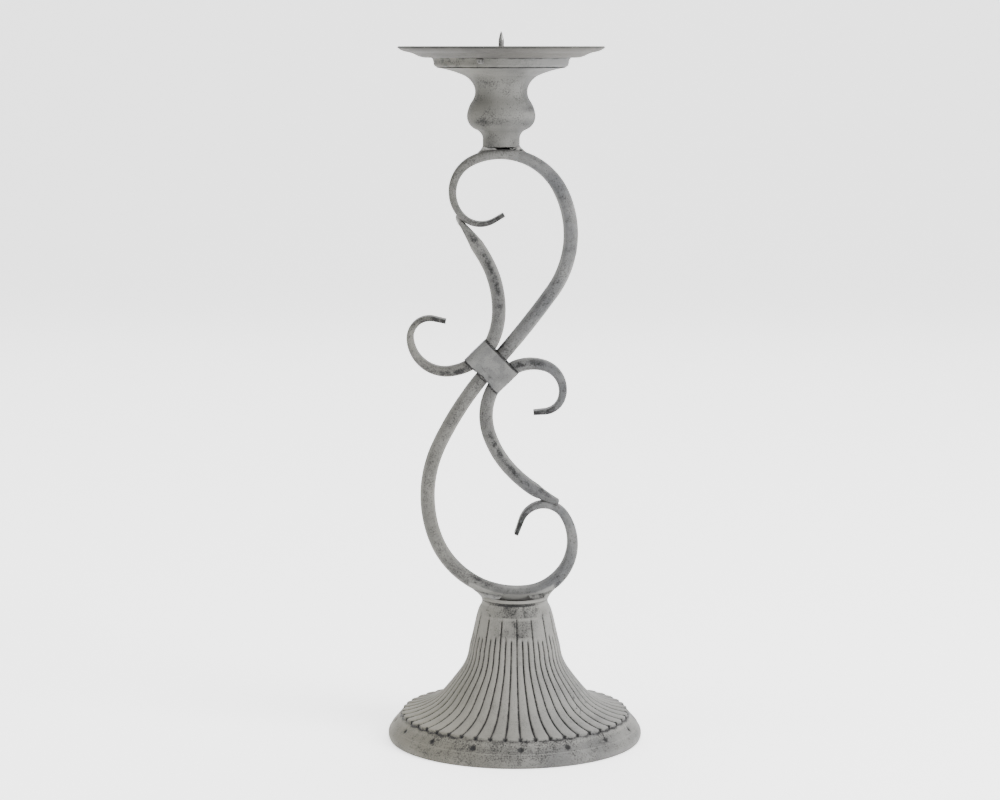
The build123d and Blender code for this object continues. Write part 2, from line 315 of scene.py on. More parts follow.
def tangent_arcs(start, heading, stops, steps):
    """A line of arcs through the stops, each leaving along the last one's heading."""
    at = np.array(start, float)
    along = np.array(heading, float) / np.hypot(*heading)
    out = [at[None]]
    for stop in stops:
        chord = np.array(stop, float) - at
        length = np.hypot(*chord)
        unit = chord / length
        bend = np.arctan2(along[0] * unit[1] - along[1] * unit[0], along @ unit)
        if abs(bend) < 1e-4:
            points = at + chord * np.linspace(0, 1, steps + 1)[1:, None]
        else:
            radius = length / (2 * sin(bend))
            side = np.array([-along[1], along[0]])
            centre = at + side * radius
            swing = 2 * bend * np.linspace(0, 1, steps + 1)[1:]
            points = centre + turned(at - centre, swing)
            along = turned(along, 2 * bend)
        out.append(points)
        at = np.array(stop, float)
    return np.vstack(out)


def resample(line, spacing):
    """Points along a line at the given spacing, which may depend on the place (r, z)."""
    steps = np.hypot(*np.diff(line, axis=0).T)
    length = np.concatenate([[0], np.cumsum(steps)])
    marks, at = [0.0], 0.0
    while at < length[-1]:
        r = np.interp(at, length, line[:, 0])
        z = np.interp(at, length, line[:, 1])
        at = min(at + spacing(r, z), length[-1])
        marks.append(at)
    if len(marks) > 2 and marks[-1] - marks[-2] < 0.3 * (marks[-2] - marks[-3]):
        marks.pop(-2)
    marks = np.array(marks)
    return np.stack([np.interp(marks, length, line[:, k]) for k in (0, 1)], axis=1)


def normals_of(line):
    """Unit normals on the right of a line's direction of travel."""
    slope = np.gradient(line, axis=0)
    slope /= np.maximum(np.hypot(*slope.T), 1e-9)[:, None]
    return np.stack([slope[:, 1], -slope[:, 0]], axis=1)


def revolved(name, outer, sheet, centre_x, columns, material, masks_of, node, seed,
             wobble=0.0, ceiling=None):
    """A sheet revolved round a vertical axis. outer runs with the outside on its right. masks_of
    gives (dark, light) from angle, r, z and how far a point is on the outside, 0 to 1."""
    side = normals_of(outer)
    inner = (outer - side * sheet)[::-1]
    if ceiling is not None:
        inner[:, 1] = np.minimum(inner[:, 1], ceiling)
    inner[:, 0] = np.maximum(inner[:, 0], 0.0)
    lip = (outer[-1] + inner[0]) / 2
    foot = (outer[0] + inner[-1]) / 2
    r, z = np.vstack([outer, [lip], inner, [foot]]).T[..., None]
    outside = np.repeat([1, 0.5, 0, 0.5], [len(outer), 1, len(inner), 1])[:, None]
    angles = np.arange(columns) * 2 * pi / columns
    ripple = wobble * (r > 1.0) * noise_round(angles, 1.4, z / 9.0, 1.0, seed)
    points = round_axis(angles, r - np.abs(ripple), z, centre_x)
    faces = ring_faces(len(r), columns, "joined")
    masks = masks_of(angles, r, z, outside)
    dark, light = (np.broadcast_to(mask, ripple.shape) for mask in masks)
    new_piece(name, points, faces, material, dark, light, node)


# ---------------- the fluted bell
MAJORS, REEDS_EACH = 16, 3
REEDS = MAJORS * REEDS_EACH
REED_TURN = radians(360 / REEDS)
MAJOR_TURN = radians(360 / MAJORS)
FRONT_TURN = radians(2.5)  # the front groove stands this far to the right
SHEET = 1.2
STEP_R = 60.4  # where the reeds end
MAJOR_TOP, MINOR_TOP = 68.9, 57.2
DIMPLE_R, DIMPLE_Z = 65.3, 9.6
SCRATCHES = (  # x, z, length and slant of each, on the right of the bell
    (38.5, 22.5, 2.0, 0.4), (34.5, 25.5, 1.5, 1.0), (36.5, 24.6, 1.3, -0.3),
    (35.0, 20.6, 1.4, 1.4), (31.5, 26.0, 1.2, 0.6), (33.0, 22.0, 1.2, 0.9),
)


def bell_outline():
    """The bell's profile from the floor up, closer drawn where it has more detail."""
    rim = arc_through((68.0, 0.0), (BASE_R, 2.3), (67.9, 5.2), 9)
    crease = [(67.35, 5.9), (67.3, 6.3)]
    band = [(66.9, 6.9), (61.9, 12.7)]
    shelf = [(60.9, 13.15), (60.0, 13.4)]
    flare = arc_through((59.6, 13.55), (53.5, 14.9), (46.7, 17.6), 10)
    stem = tangent_arcs(flare[-1], flare[-1] - flare[-2], [(37.6, 24.7), (29.0, 36), (24.1, 50)], 10)
    shoulder = tangent_arcs((20.6, 66), (-0.22, 0.975), [(19.6, 70.0), (17.8, 73.6)], 6)
    neck = [(17.8, 74.4), (17.8, base_high[2] - 0.05)]
    line = np.vstack([rim, crease, band, shelf, flare, stem[1:], (20.6, 66), shoulder[1:], neck])

    def spacing(r, z):
        if z > 58:
            return 0.45
        if z > 20:
            return 1.3
        if r > 63.5 or r < 57:
            return 0.6
        return 0.22

    return resample(line, spacing)


def reed_columns():
    """For each column of the mesh: its angle, the angle to the nearest groove, and which one."""
    per_reed = radians(1) * np.array([0, 0.16, 0.34, 0.55, 0.8, 1.15, 1.7, 2.6, 3.75])
    one_reed = np.concatenate([per_reed, REED_TURN - per_reed[1:-1][::-1]])
    reed = np.repeat(np.arange(REEDS), len(one_reed))
    offset = np.tile(one_reed, REEDS)
    angles = offset + REED_TURN * reed - pi / 2 + FRONT_TURN
    nearer = np.where(offset <= REED_TURN / 2, reed, (reed + 1) % REEDS)
    return angles, np.minimum(offset, REED_TURN - offset), nearer


def bell_relief(outer):
    """How far each point stands proud of the profile, and the fields that the paint needs.
    The random numbers are drawn here."""
    angles, from_groove, nearer = reed_columns()
    is_major = nearer % REEDS_EACH == 0
    groove_top = np.where(is_major, MAJOR_TOP, MINOR_TOP) + 0.9 * rng.standard_normal(REEDS)[nearer]
    depth_jitter = 1 + 0.22 * rng.standard_normal(REEDS)[nearer]
    r, z = outer[:, 0][:, None], outer[:, 1][:, None]
    across = from_groove * r
    half_width = r * REED_TURN / 2
    t = np.clip(across / half_width, 0, 1)
    wave = noise_round(angles, 3, 0.0, 1.0, 3)
    # outline of the reeds' ends: a shallow double scallop, drawn in at each groove
    reach = STEP_R + 0.85 - 0.75 * (1 - t) ** 2 + 0.15 * wave
    on_reed = smooth_step((reach - r) / 0.55 + 0.5) * (z > 12.0)
    fade_top = smooth_step((groove_top - z) / 1.6 + 0.5)
    fade_end = smooth_step((reach + 1.6 - r) / 0.8)
    groove_half = 0.42 + 0.17 * smooth_step((r - 30) / 25)
    groove = hump(across, 0, groove_half) * fade_top * (z > 12.6) * fade_end
    crown = (1 - (1 - t) ** 2) * np.clip(0.15 * half_width, 0, 0.5)
    minor_zone = smooth_step((MINOR_TOP - z) / 4)
    crown = crown * np.where(is_major, 1.0, minor_zone) * smooth_step((72 - z) / 6)
    proud = 0.70 * on_reed * smooth_step((z - 12.0) / 1.2)
    proud = proud * (0.25 + 0.75 * smooth_step((64 - z) / 40))
    lift = proud + crown * on_reed - 0.46 * groove * np.abs(depth_jitter)

    # dimples, and the faint ridges that run out to them
    to_major = (angles + pi / 2 - FRONT_TURN + MAJOR_TURN / 2) % MAJOR_TURN - MAJOR_TURN / 2
    to_dimple = np.hypot(to_major * r, np.hypot(r - DIMPLE_R, z - DIMPLE_Z))
    on_band = window(r, 61.6, 66.4, 0.6) * (z < 14)
    ridge = hump(to_major * r, 0, 0.5) * on_band * (r < 65.6)
    lift = lift - 0.6 * hump(to_dimple, 0, 1.5) - 0.12 * ridge
    sectors = 96
    profile = np.repeat(outer[:, None] / 6, sectors, axis=1)
    turn = np.broadcast_to(np.arange(sectors) * 0.31, profile.shape[:2])
    unevenness = noise_at(np.dstack([profile, turn]), 1.0, 5)
    unevenness = unevenness[:, np.arange(len(angles)) * sectors // len(angles)]
    lift = lift + 0.05 * unevenness
    lift[outer[:, 1] < 5.5] *= 0.3
    return SimpleNamespace(
        lift=np.minimum(lift, 1.2), angles=angles, r=r, z=z, t=t, across=across, reach=reach,
        groove=groove, groove_half=groove_half, on_reed=on_reed, ends=fade_top * fade_end,
        to_major=to_major * r, to_dimple=to_dimple, on_band=on_band, ridge=ridge,
        patches=0.5 + 0.5 * unevenness)


def bell_paint(b, outer, places):
    """Dark in the grooves, the dot at each groove's end, the dimples, the crease above the rim,
    and smudges; painted shadow below the reeds' ends, and painted shade under the neck ring at
    the front; painted highlights along the crown of each reed and on the sides of the neck."""
    along = np.column_stack([outer / 3, np.zeros(len(outer))])
    rough_line = 0.75 + 0.25 * noise_at(along, 1.0, 9)[:, None]
    front = np.clip(-np.sin(b.angles), 0, 1)
    foot = b.r > 60
    wide = hump(b.across, 0, 1.25 * b.groove_half) * (b.groove > 0.002) * b.ends
    # painted shadow below the reeds' scalloped ends
    shadow_below_step = hump(b.r - b.reach, 0.7, 0.85) * (b.z > 11) * (b.z < 16)
    panel = window(b.z, 59.5, 67.0, 2.0) * (0.35 + 0.9 * b.patches)
    panel = panel * np.clip(np.cos(b.angles + radians(86)), 0, 1) ** 6
    cap = hump(b.z, 69.5, 0.7) * hump(b.to_major, 0, 1.2)
    dark = strongest(
        1.25 * strongest(b.groove, 0.75 * wide) * rough_line,
        1.3 * hump(b.across, 0, 1.25) * hump(b.r - STEP_R, 0.2, 1.3) * (b.z < 16),
        0.95 * shadow_below_step * (0.45 + 0.7 * b.patches),
        1.2 * hump(b.to_dimple, 0, 1.9) * (0.5 + 0.7 * front),
        0.75 * b.ridge * smooth_step(b.patches * 2 - 0.4),
        hump(b.z, 6.6, 0.75) * foot * (0.12 + 0.62 * b.patches * front),
        0.56 * b.on_band * (0.60 + 0.6 * b.patches) * (0.3 + 0.7 * front),
        0.46 * foot * (b.z < 6.6) * (0.6 + 0.6 * b.patches) * (0.5 + 0.5 * front),
        0.55 * hump(b.z, 0, 0.7) * foot,
        0.66 * panel,
        0.7 * cap * (0.6 + 0.8 * b.patches),
        # painted shade under the neck ring at the front, and down the front of the neck below it
        1.2 * hump(b.z, 75.4, 0.7) * front ** 2,
        0.66 * window(b.z, 69.5, 75.0, 1.5) * (0.4 + 0.8 * b.patches) * front ** 2,
    )
    for x, z, length, slant in SCRATCHES:
        u = (places[..., 0] - x) * cos(slant) + (places[..., 2] - z) * sin(slant)
        v = -(places[..., 0] - x) * sin(slant) + (places[..., 2] - z) * cos(slant)
        scratch = hump(u, 0, length) * hump(v, 0, 0.35) * (places[..., 1] < 0)
        dark = np.maximum(dark, 0.75 * scratch)
    # painted highlights along the crown of each reed and near its edges
    crown_highlights = 0.45 * b.on_reed * (1 - b.groove) * (0.55 * hump(b.t, 0.30, 0.16) + 0.45 * b.t)
    light = strongest(
        crown_highlights * (0.4 + 0.6 * smooth_step((b.z - 14) / 6)),
        # painted light on the neck, less at the front
        0.9 * window(b.z, 72.5, 76, 1.0) * (1 - 0.6 * front),
        0.5 * b.on_band * hump(b.r, 63.2, 0.7),
    )
    return dark, light


def bell():
    outer = bell_outline()
    side = normals_of(outer)
    b = bell_relief(outer)
    r = np.minimum(b.r + side[:, 0][:, None] * b.lift, BASE_R - 0.05)
    z = np.maximum(b.z + side[:, 1][:, None] * b.lift, 0.0)
    at_top = z > base_high[2] - 1.6
    r[at_top] = np.minimum(r[at_top], 17.8)
    outside = round_axis(b.angles, r, z)

    inner = (outer - side * SHEET)[::-3]
    inner[:, 1] = np.clip(inner[:, 1], SHEET, base_high[2] - 0.05)
    inner[:, 0] = np.maximum(inner[:, 0], 16.6)
    inner = np.vstack([inner[inner[:, 0] < 66.2], [(65.6, SHEET), (65.6, 0.0)]])
    inside = round_axis(b.angles, *inner.T[..., None])

    dark, light = bell_paint(b, outer, outside)
    plain = np.zeros(inside.shape[:2])
    points = np.concatenate([outside, inside])
    faces = ring_faces(len(points), len(b.angles), "joined")
    new_piece("fluted_bell", points, faces, base_paint, np.concatenate([dark, plain + 0.25]),
              np.concatenate([light, plain]), "base", merge=False)


bell()


# ---------------- bent tubes
MAIN_TUBE, SIDE_TUBE = 7.8, 7.4
SIDE_OFFSET = 7.7  # from the middle of the main tube to the middle of a side tube
WALL = 0.9
CRUSHED = 2.4  # thickness of a tube's flat end
POCKET = 6.0  # how deep the slit in a flat end goes
SLIT_SHADE = np.array([1.2, 1.2, 1.2, 0.6, 0.6])[:, None]  # painted shade inside that slit, one value for each ring of points in it
TIP_ROWS = len(SLIT_SHADE)
AROUND = 36
PATH_STEP, TIP_STEP = 0.5, 0.8
STEM_SLOPE = radians(228)
ALONG = np.array([cos(STEM_SLOPE), sin(STEM_SLOPE)])
ACROSS = np.array([-ALONG[1], ALONG[0]])
TUBES_CROSS = np.array([-12.0, 203.1])
COLLAR_TURN = radians(224.5)
COLLAR_ALONG = np.array([cos(COLLAR_TURN), sin(COLLAR_TURN)])
COLLAR_WIDTH = 15.7
collar_low, collar_high = box_mm("collar")
COLLAR_MIDDLE = (collar_low[[0, 2]] + collar_high[[0, 2]]) / 2


def half_path(along, across, upwards, side, bends, tip, crush):
    """(points, heading, distance from the collar) down half a scroll, in the XZ plane, and the
    length over which it is crushed. bends lists (radius, degrees), and tip is the straight end."""
    at = TUBES_CROSS + along * ALONG + across * ACROSS
    heading = STEM_SLOPE + (pi if upwards else 0)
    far = 0.0
    path = [(at, heading, far)]
    for radius, degrees in bends:
        angle = radians(degrees)
        count = max(int(radius * angle / PATH_STEP), 4)
        for _ in range(count):
            centre = at + side * radius * np.array([-sin(heading), cos(heading)])
            heading += side * angle / count
            at = centre - side * radius * np.array([-sin(heading), cos(heading)])
            far += radius * angle / count
            path.append((at, heading, far))
    count = int(tip / TIP_STEP)
    for _ in range(count):
        at = at + np.array([cos(heading), sin(heading)]) * tip / count
        far += tip / count
        path.append((at, heading, far))
    return *(np.array(column) for column in zip(*path)), crush


def whole_path(up, down, diameter):
    """A tube's middle line from its upper tip to its lower tip. power is 2 where the tube is
    round and grows as it is flattened, and deep is its measure from front to back."""
    parts = []
    for points, headings, marks, crush in (up, down):
        to_end = marks[-1] - marks
        thick = CRUSHED + (diameter - CRUSHED) * np.clip(to_end / crush, 0, 1)
        parts.append((points, headings, thick, to_end))
    # the upper half is run backwards, and the point where they meet is taken once
    line, heading, thick, to_end = (np.concatenate([a[::-1], b[1:]]) for a, b in zip(*parts))
    heading[:len(up[0])] += pi
    flattened = diameter - thick
    return SimpleNamespace(
        line=line, heading=heading, thick=thick, to_end=to_end, deep=thick + pi / 2 * flattened,
        power=2 + 2.5 * flattened / (diameter - CRUSHED))


def tube_rings(path):
    """Rings of points along a tube, from inside the slit of one flat end to the other's."""
    turn = np.arange(AROUND) * 2 * pi / AROUND
    c, s = np.cos(turn), np.sin(turn)

    def ring(i, inset=0.0, shift=0.0):
        e = 2 / path.power[i]
        y = np.sign(c) * np.abs(c) ** e * (path.deep[i] / 2 - inset)
        u = np.sign(s) * np.abs(s) ** e * (path.thick[i] / 2 - inset)
        heading = path.heading[i]
        x = path.line[i, 0] - sin(heading) * u + cos(heading) * shift
        z = path.line[i, 1] + cos(heading) * u + sin(heading) * shift
        return np.stack([x, y, z], axis=1)

    slit, eased = WALL - 0.05, 0.12  # eased, so that no leaf has a knife edge
    into = [(slit + 0.12, POCKET), (slit, 0.4 * POCKET), (slit, 0), (0.55 * slit, 0), (eased, 0)]
    last = len(path.line) - 1
    rows = [ring(0, inset, shift) for inset, shift in into]
    rows += [ring(i) for i in range(last + 1)]
    rows += [ring(last, inset, -shift) for inset, shift in into[::-1]]
    return np.array(rows)


def tube_dark(path, points, facing, dents, fine, broad, wear_and_shade, joined):
    """Painted shade down the front middle, on the underside, along the left outline and beside
    the collar; dark in the streaks and where the leaves of a flat end meet."""
    front = -facing[..., 1]
    outline = smooth_step((-facing[..., 0] - 0.80) / 0.15) * smooth_step((0.5 - np.abs(front)) / 0.2)
    # painted shade: darker where the tube faces the camera and on its underside, and a dark line along
    # its left outline
    dark = strongest(
        0.16 + 0.10 * fine + smooth_step((front - 0.45) / 0.45) * (0.24 + 0.16 * broad),
        0.35 * smooth_step((-facing[..., 2] - 0.55) / 0.4),
        0.55 * outline * (0.8 + 0.8 * dents),
    )
    axis = np.insert(turned((1, 0), path.heading), 1, 0, axis=1)
    for x, z, reach, *way, strength in wear_and_shade:
        way = np.array(way, float)
        way = way - (axis @ way)[:, None] * axis
        way /= np.linalg.norm(way, axis=1)[:, None]
        lined_up = (facing * way[:, None]).sum(2)
        away = np.hypot(points[..., 0] - x, points[..., 2] - z)
        smear = 0.75 * smooth_step((lined_up - 0.70) / 0.26)
        ridge = smooth_step((lined_up - 0.87) / 0.11) * (0.93 + 0.25 * fine)
        ridge = ridge * smooth_step((strength - 0.6) / 0.1)
        hit = hump(away, 0, 1.25 * reach) * np.maximum(smear, ridge)
        dark = np.maximum(dark, strength * hit * (0.95 + 0.35 * fine))
    # painted shadow on the tube just outside each long edge of the collar
    dx, dz = points[..., 0] - COLLAR_MIDDLE[0], points[..., 2] - COLLAR_MIDDLE[1]
    from_middle = np.abs(dx * COLLAR_ALONG[0] + dz * COLLAR_ALONG[1])
    collar_shadow = hump(from_middle, COLLAR_WIDTH / 2 + 0.2, 0.34) * (np.hypot(dx, dz) < 20)
    seam = smooth_step((path.power - 3.0) / 1.2)[:, None] * smooth_step((front - 0.7) / 0.25)
    seam = seam * (0.45 + 0.45 * hump(path.to_end, 0, 16)[:, None])
    for welded, tip in zip(joined, (path.line[0], path.line[-1])):
        if welded:
            seam = seam * smooth_step((np.hypot(*(path.line - tip).T) - 9) / 5)[:, None]
    return strongest(dark, 1.1 * collar_shadow, seam * (0.9 + 0.4 * fine))


def square_on_neck(path, grid, diameter, seat):
    """Square the tube where it beds into the neck, and flatten it at the height of the seat."""
    line = path.line
    bottom = (line[:, 1] < 100) & (np.abs(line[:, 0]) < 30) & (path.thick > 0.8 * diameter)
    low = line[bottom][np.argsort(line[bottom, 0])]
    x, y, z = np.moveaxis(grid, 2, 0)
    down = np.clip((np.interp(x, low[:, 0], low[:, 1]) - z) / (diameter / 2), 0, 1)
    bedded = window(x, -15.5, 15.5, 1.5) * (z < 90) * (down > 0)
    square = np.sign(y) * diameter / 2 * (1 - down ** 4) ** 0.25
    y += bedded * (square - y)
    under = (np.abs(x) < 17) & (z < seat)
    z[under] = seat + 0.12 * (z[under] - seat)


def tube(name, node, up, down, diameter, seed, wear_and_shade, joined=(False, False), seat=None):
    """A tube through the collar, from its upper tip to its lower tip, crushed flat at both ends.
    worn lists dark streaks: (x, z, reach along, facing x, y, z, strength). joined says which
    tips are welded down, and seat is the height of the flat where the tube stands on the neck."""
    path = whole_path(up, down, diameter)
    grid = tube_rings(path)
    skin = slice(TIP_ROWS, -TIP_ROWS)
    points = grid[skin]
    facing = points - np.insert(path.line, 1, 0, axis=1)[:, None]
    facing /= np.maximum(np.linalg.norm(facing, axis=2), 1e-9)[..., None]
    dents = noise_at(points, 9.0, seed)
    fine = noise_at(points, 2.5, seed + 1)
    near_end = smooth_step(path.to_end / 12)[:, None]
    points -= facing * ((0.07 * np.abs(dents) + 0.03 * np.abs(fine)) * near_end)[..., None]
    broad = noise_at(points, 22.0, seed + 2)

    dark = np.zeros(grid.shape[:2])
    light = np.zeros(grid.shape[:2])
    dark[skin] = tube_dark(path, points, facing, dents, fine, broad, wear_and_shade, joined)
    # the slits of the flat ends painted dark as shade, less where a weld fills them
    for welded, rows in zip(joined, (slice(TIP_ROWS), slice(-1, -TIP_ROWS - 1, -1))):
        dark[rows] = 0.3 if welded else SLIT_SHADE
    # painted light and shade: highlights on the slopes between the front and the silhouette, painted
    # shade along the silhouette, stronger on the left, and a little darker all over
    sideways = np.abs(facing[..., 1])
    rim = smooth_step((0.45 - sideways) / 0.4)
    left_edge_shade = rim * smooth_step((-facing[..., 0] - 0.1) / 0.4)
    edge_highlight = smooth_step((0.80 - sideways) / 0.5) * (1 - rim)
    light[skin] = 0.45 * edge_highlight - 1.1 * rim - 0.5 * left_edge_shade - 0.25
    if seat is not None:
        # painted light on the tube's lower front beside the neck welds, in place of the shade there,
        # with its painted shade taken off
        painted_light_by_weld = window(points[..., 0], -24, 20, 3) * smooth_step((87 - points[..., 2]) / 4)
        painted_light_by_weld = painted_light_by_weld * smooth_step((0.1 - facing[..., 2]) / 0.4) * (facing[..., 1] < 0.2)
        dark[skin] *= 1 - 0.9 * painted_light_by_weld
        light[skin] = np.maximum(light[skin], 1.6 * painted_light_by_weld - 0.6)
        square_on_neck(path, grid, diameter, seat)
    faces = ring_faces(len(grid), AROUND, "capped")
    new_piece(name, grid, faces, tube_paint, dark, light, node)


main_up = half_path(0, 0, True, 1, [(450, 6.5), (52, 62.5), (35, 90), (18.5, 102.5), (14, 81)], 6, 116)
main_down = half_path(0, 0, False, 1, [(180, 16.5), (65, 45), (47, 78), (27.5, 115.5), (13, 127)], 8, 77)
tube("main_scroll_tube", "main_scroll", main_up, main_down, MAIN_TUBE, 11, [
    (-6.5, 214.0, 7.0, -1, -0.6, 0.7, 0.70),
    (-28.6, 92.7, 8.0, 0.6, -1, 0.8, 0.60),
    (-21.0, 86.5, 7.0, 0.5, -0.9, 0.9, 0.85),
    (-15.0, 82.5, 5.0, 0.3, -0.9, 0.9, 0.75),
    (20.0, 84.0, 8.0, 0.9, -1, -0.5, 0.70),
    (27.0, 93.0, 9.0, 0.6, -1, 0.1, 0.60),
    (33.0, 110.0, 9.0, 0.7, -1, 0, 0.55),
    (31.0, 119.0, 6.0, 1, -0.7, 0.5, 0.75),
    (-37.0, 172.0, 12.0, 0, -1, 0, 0.55),
    (-44.0, 135.0, 14.0, -0.2, -1, 0, 0.45),
    (26.0, 250.0, 18.0, 0.3, -1, 0, 0.59),
    (29.0, 270.0, 16.0, 0.3, -1, 0, 0.59),
    (36.0, 265.0, 22.0, 1.0, -1, 0, 0.59),
    (24.0, 295.0, 12.0, 0.5, -1, 0.4, 0.60),
    (12.0, 310.0, 8.0, 0.4, -1, 0.8, 0.66),
    (4.0, 223.0, 12.0, 0.2, -1, 0, 0.55),
    (-34.5, 291.0, 9.0, -1, -0.6, 0.1, 0.75),
    (-32.5, 283.0, 6.0, -1, -0.6, -0.3, 0.9),
    (-19.0, 276.5, 5.0, 0, -1, -0.3, 0.75),
], seat=ring_low[2] - 0.3)

upper_up = half_path(-1.5, -SIDE_OFFSET, True, 1, [(29, 23), (40, 16.8), (55, 33.1), (195, 6.6)], 0, 15)
upper_down = half_path(-1.5, -SIDE_OFFSET, False, -1, [(29, 41), (19, 91), (10.5, 108.5)], 6.5, 81)
tube("upper_side_tube", "upper_side_scroll", upper_up, upper_down, SIDE_TUBE, 21, [
    (-37.0, 203.2, 7.0, 0, -1, -0.25, 0.90),
    (-29.0, 202.0, 6.0, 0, -1, -0.35, 0.95),
    (-45.0, 205.5, 6.0, -0.2, -1, -0.2, 0.85),
    (-24.0, 270.0, 6.0, 0.2, -1, 0.1, 0.80),
    (-19.0, 258.0, 8.0, 0.2, -1, 0.1, 0.95),
    (-16.0, 252.0, 7.0, 0.2, -1, 0.05, 0.92),
    (-13.5, 246.0, 8.0, 0.2, -1, 0, 0.95),
    (-10.0, 234.0, 7.0, 0.2, -1, 0, 0.75),
    (-31.0, 274.0, 5.0, -1, -0.4, -0.3, 0.85),
], joined=(True, False))

lower_up = half_path(1.9, SIDE_OFFSET, True, -1, [(22.5, 65), (14, 88.5), (10.5, 70)], 6, 56)
lower_down = half_path(1.9, SIDE_OFFSET, False, 1, [(31, 60.4), (53, 23.7), (70, 24.4)], 2.5, 14)
tube("lower_side_tube", "lower_side_scroll", lower_up, lower_down, SIDE_TUBE, 31, [
    (3.0, 203.8, 5.5, 0, -1, 0.25, 0.85),
    (11.0, 203.2, 5.5, 0.1, -1, 0.35, 0.95),
    (18.5, 198.5, 5.5, 0.4, -1, 0.4, 0.90),
    (24.5, 189.0, 7.0, 1, -0.9, 0.2, 0.80),
    (22.0, 182.0, 5.0, 1, -0.7, -0.5, 0.75),
    (-13.5, 162.0, 7.0, 0.3, -1, 0, 0.72),
    (-10.0, 154.0, 7.0, 0.35, -1, 0, 0.76),
    (-7.2, 150.3, 6.0, 0.3, -1, 0.05, 0.74),
    (-4.0, 147.0, 7.0, 0.3, -1, 0.1, 0.76),
    (0.2, 143.8, 6.0, 0.2, -1, 0.1, 0.74),
    (4.0, 141.0, 7.0, 0.1, -1, 0.1, 0.72),
    (15.0, 134.5, 6.0, 0.3, -1, 0.5, 0.75),
    (-15.5, 176.0, 12.0, -1, -0.2, 0, 0.75),
], joined=(False, True))


# ---------------- collar, a wrapped strip
def rounded_box(length, depth, corner):
    """Points round a rectangle with rounded corners, against the clock."""
    def at_corner(k, degrees):
        cx, cy = ((1, 1), (-1, 1), (-1, -1), (1, -1))[k % 4]
        a = radians(degrees)
        return np.array((cx * (length / 2 - corner) + corner * cos(a),
                         cy * (depth / 2 - corner) + corner * sin(a)))

    outline = []
    for k in range(4):
        outline += [at_corner(k, 90 * k + 90 * j / 8) for j in range(9)]
        here, there = outline[-1], at_corner(k + 1, 90 * (k + 1))
        steps = int(np.hypot(*(there - here)) / 0.9)
        outline += [here + (there - here) * j / steps for j in range(1, steps)]
    return np.array(outline)


def collar():
    centre = (collar_low + collar_high) / 2
    sheet, length, depth, corner = 1.1, 25.6, collar_high[1] - collar_low[1], 4.4
    outline = rounded_box(length, depth, corner)
    step = np.roll(outline, -1, 0) - np.roll(outline, 1, 0)
    out = np.stack([step[:, 1], -step[:, 0]], 1)
    out /= np.hypot(*out.T)[:, None]
    half, ease = COLLAR_WIDTH / 2, 0.35
    # (place across the strip, depth below its outside), round each long edge and between them
    edge_rows = [(half - ease, -sheet), (half, ease - sheet), (half, -ease),
                 (half - 0.3 * ease, -0.08), (half - ease, 0)]
    stations = [(-w, inset) for w, inset in edge_rows]
    stations += [(w, 0) for w in np.linspace(-half + 0.7, half - 0.7, 22)]
    stations += edge_rows[::-1]
    grid = np.array([np.column_stack([outline + out * inset, np.full(len(outline), w)])
                     for w, inset in stations])
    station_w, station_inset = np.array(stations).T[..., None]
    is_outer = station_inset == 0
    hammer = noise_at(grid, 5.0, 41)
    edge = noise_at(grid, 2.2, 42)
    grid[..., :2] -= out[None] * (np.abs(hammer) * 0.16 * is_outer)[..., None]
    u, y, w = np.moveaxis(grid, 2, 0)  # w runs along the tubes, u across them
    w -= np.sign(w) * np.abs(edge) * 0.15 * (np.abs(w) > half - 1)
    # the torn, folded lip on the lower long edge, over the main tube
    lip = window(u, -3.2, 5.6, 1.6) * (y < 0) * (w > 3.5)
    w -= lip * (0.7 + 0.5 * edge) * smooth_step((w - 3.5) / 4)
    x = centre[0] - u * COLLAR_ALONG[1] + w * COLLAR_ALONG[0]
    z = centre[2] + u * COLLAR_ALONG[0] + w * COLLAR_ALONG[1]
    margin = half - np.abs(station_w)
    dark = strongest(
        1.05 * hump(margin, 0, 0.55) * (0.95 + 0.4 * edge),
        0.16 + 0.22 * hammer,
        0.42 * lip * smooth_step(edge * 2 + 0.2),
    )
    dark = np.where(station_inset <= -sheet, 0.9, dark)
    # painted highlights near both rounded ends, where the strip turns
    light = strongest(0.4 * hump(np.abs(u), length / 2 - 2.0, 1.4), 0.35 * (hammer < -0.1))
    points = np.stack([x, y, z], axis=2)
    faces = ring_faces(len(stations), len(outline), "joined")
    new_piece("wrapped_collar", points, faces, collar_paint, dark, light, "collar")


collar()


# ---------------- ring on the neck
def neck_ring():
    top, bottom = ring_high[2], ring_low[2]
    r = (ring_high[0] - ring_low[0]) / 2
    outer = np.vstack([
        [(16.9, bottom + 0.02), (17.5, bottom + 0.05)],
        arc_through((17.8, bottom + 0.15), (r, (top + bottom) / 2), (17.6, top - 0.1), 9),
        [(17.2, top), (16.6, top - 0.08)],
    ])

    def masks(turn, r, z, outside):
        front = np.clip(-np.sin(turn), 0, 1)
        # painted shade along the ring's foot at the front, where it meets the neck, and on its inner
        # side
        dark = strongest(hump(z, bottom, 0.5) * front ** 2 + 0.12, 0.8 * (r < 16.9))
        return dark, 0.35 * hump(z, bottom + 1.3, 0.6)

    revolved("neck_ring_piece", resample(outer, lambda r, z: 0.2), 0.75, 0.0, 144, base_paint,
             masks, "neck_ring", wobble=0.12, seed=51)


neck_ring()


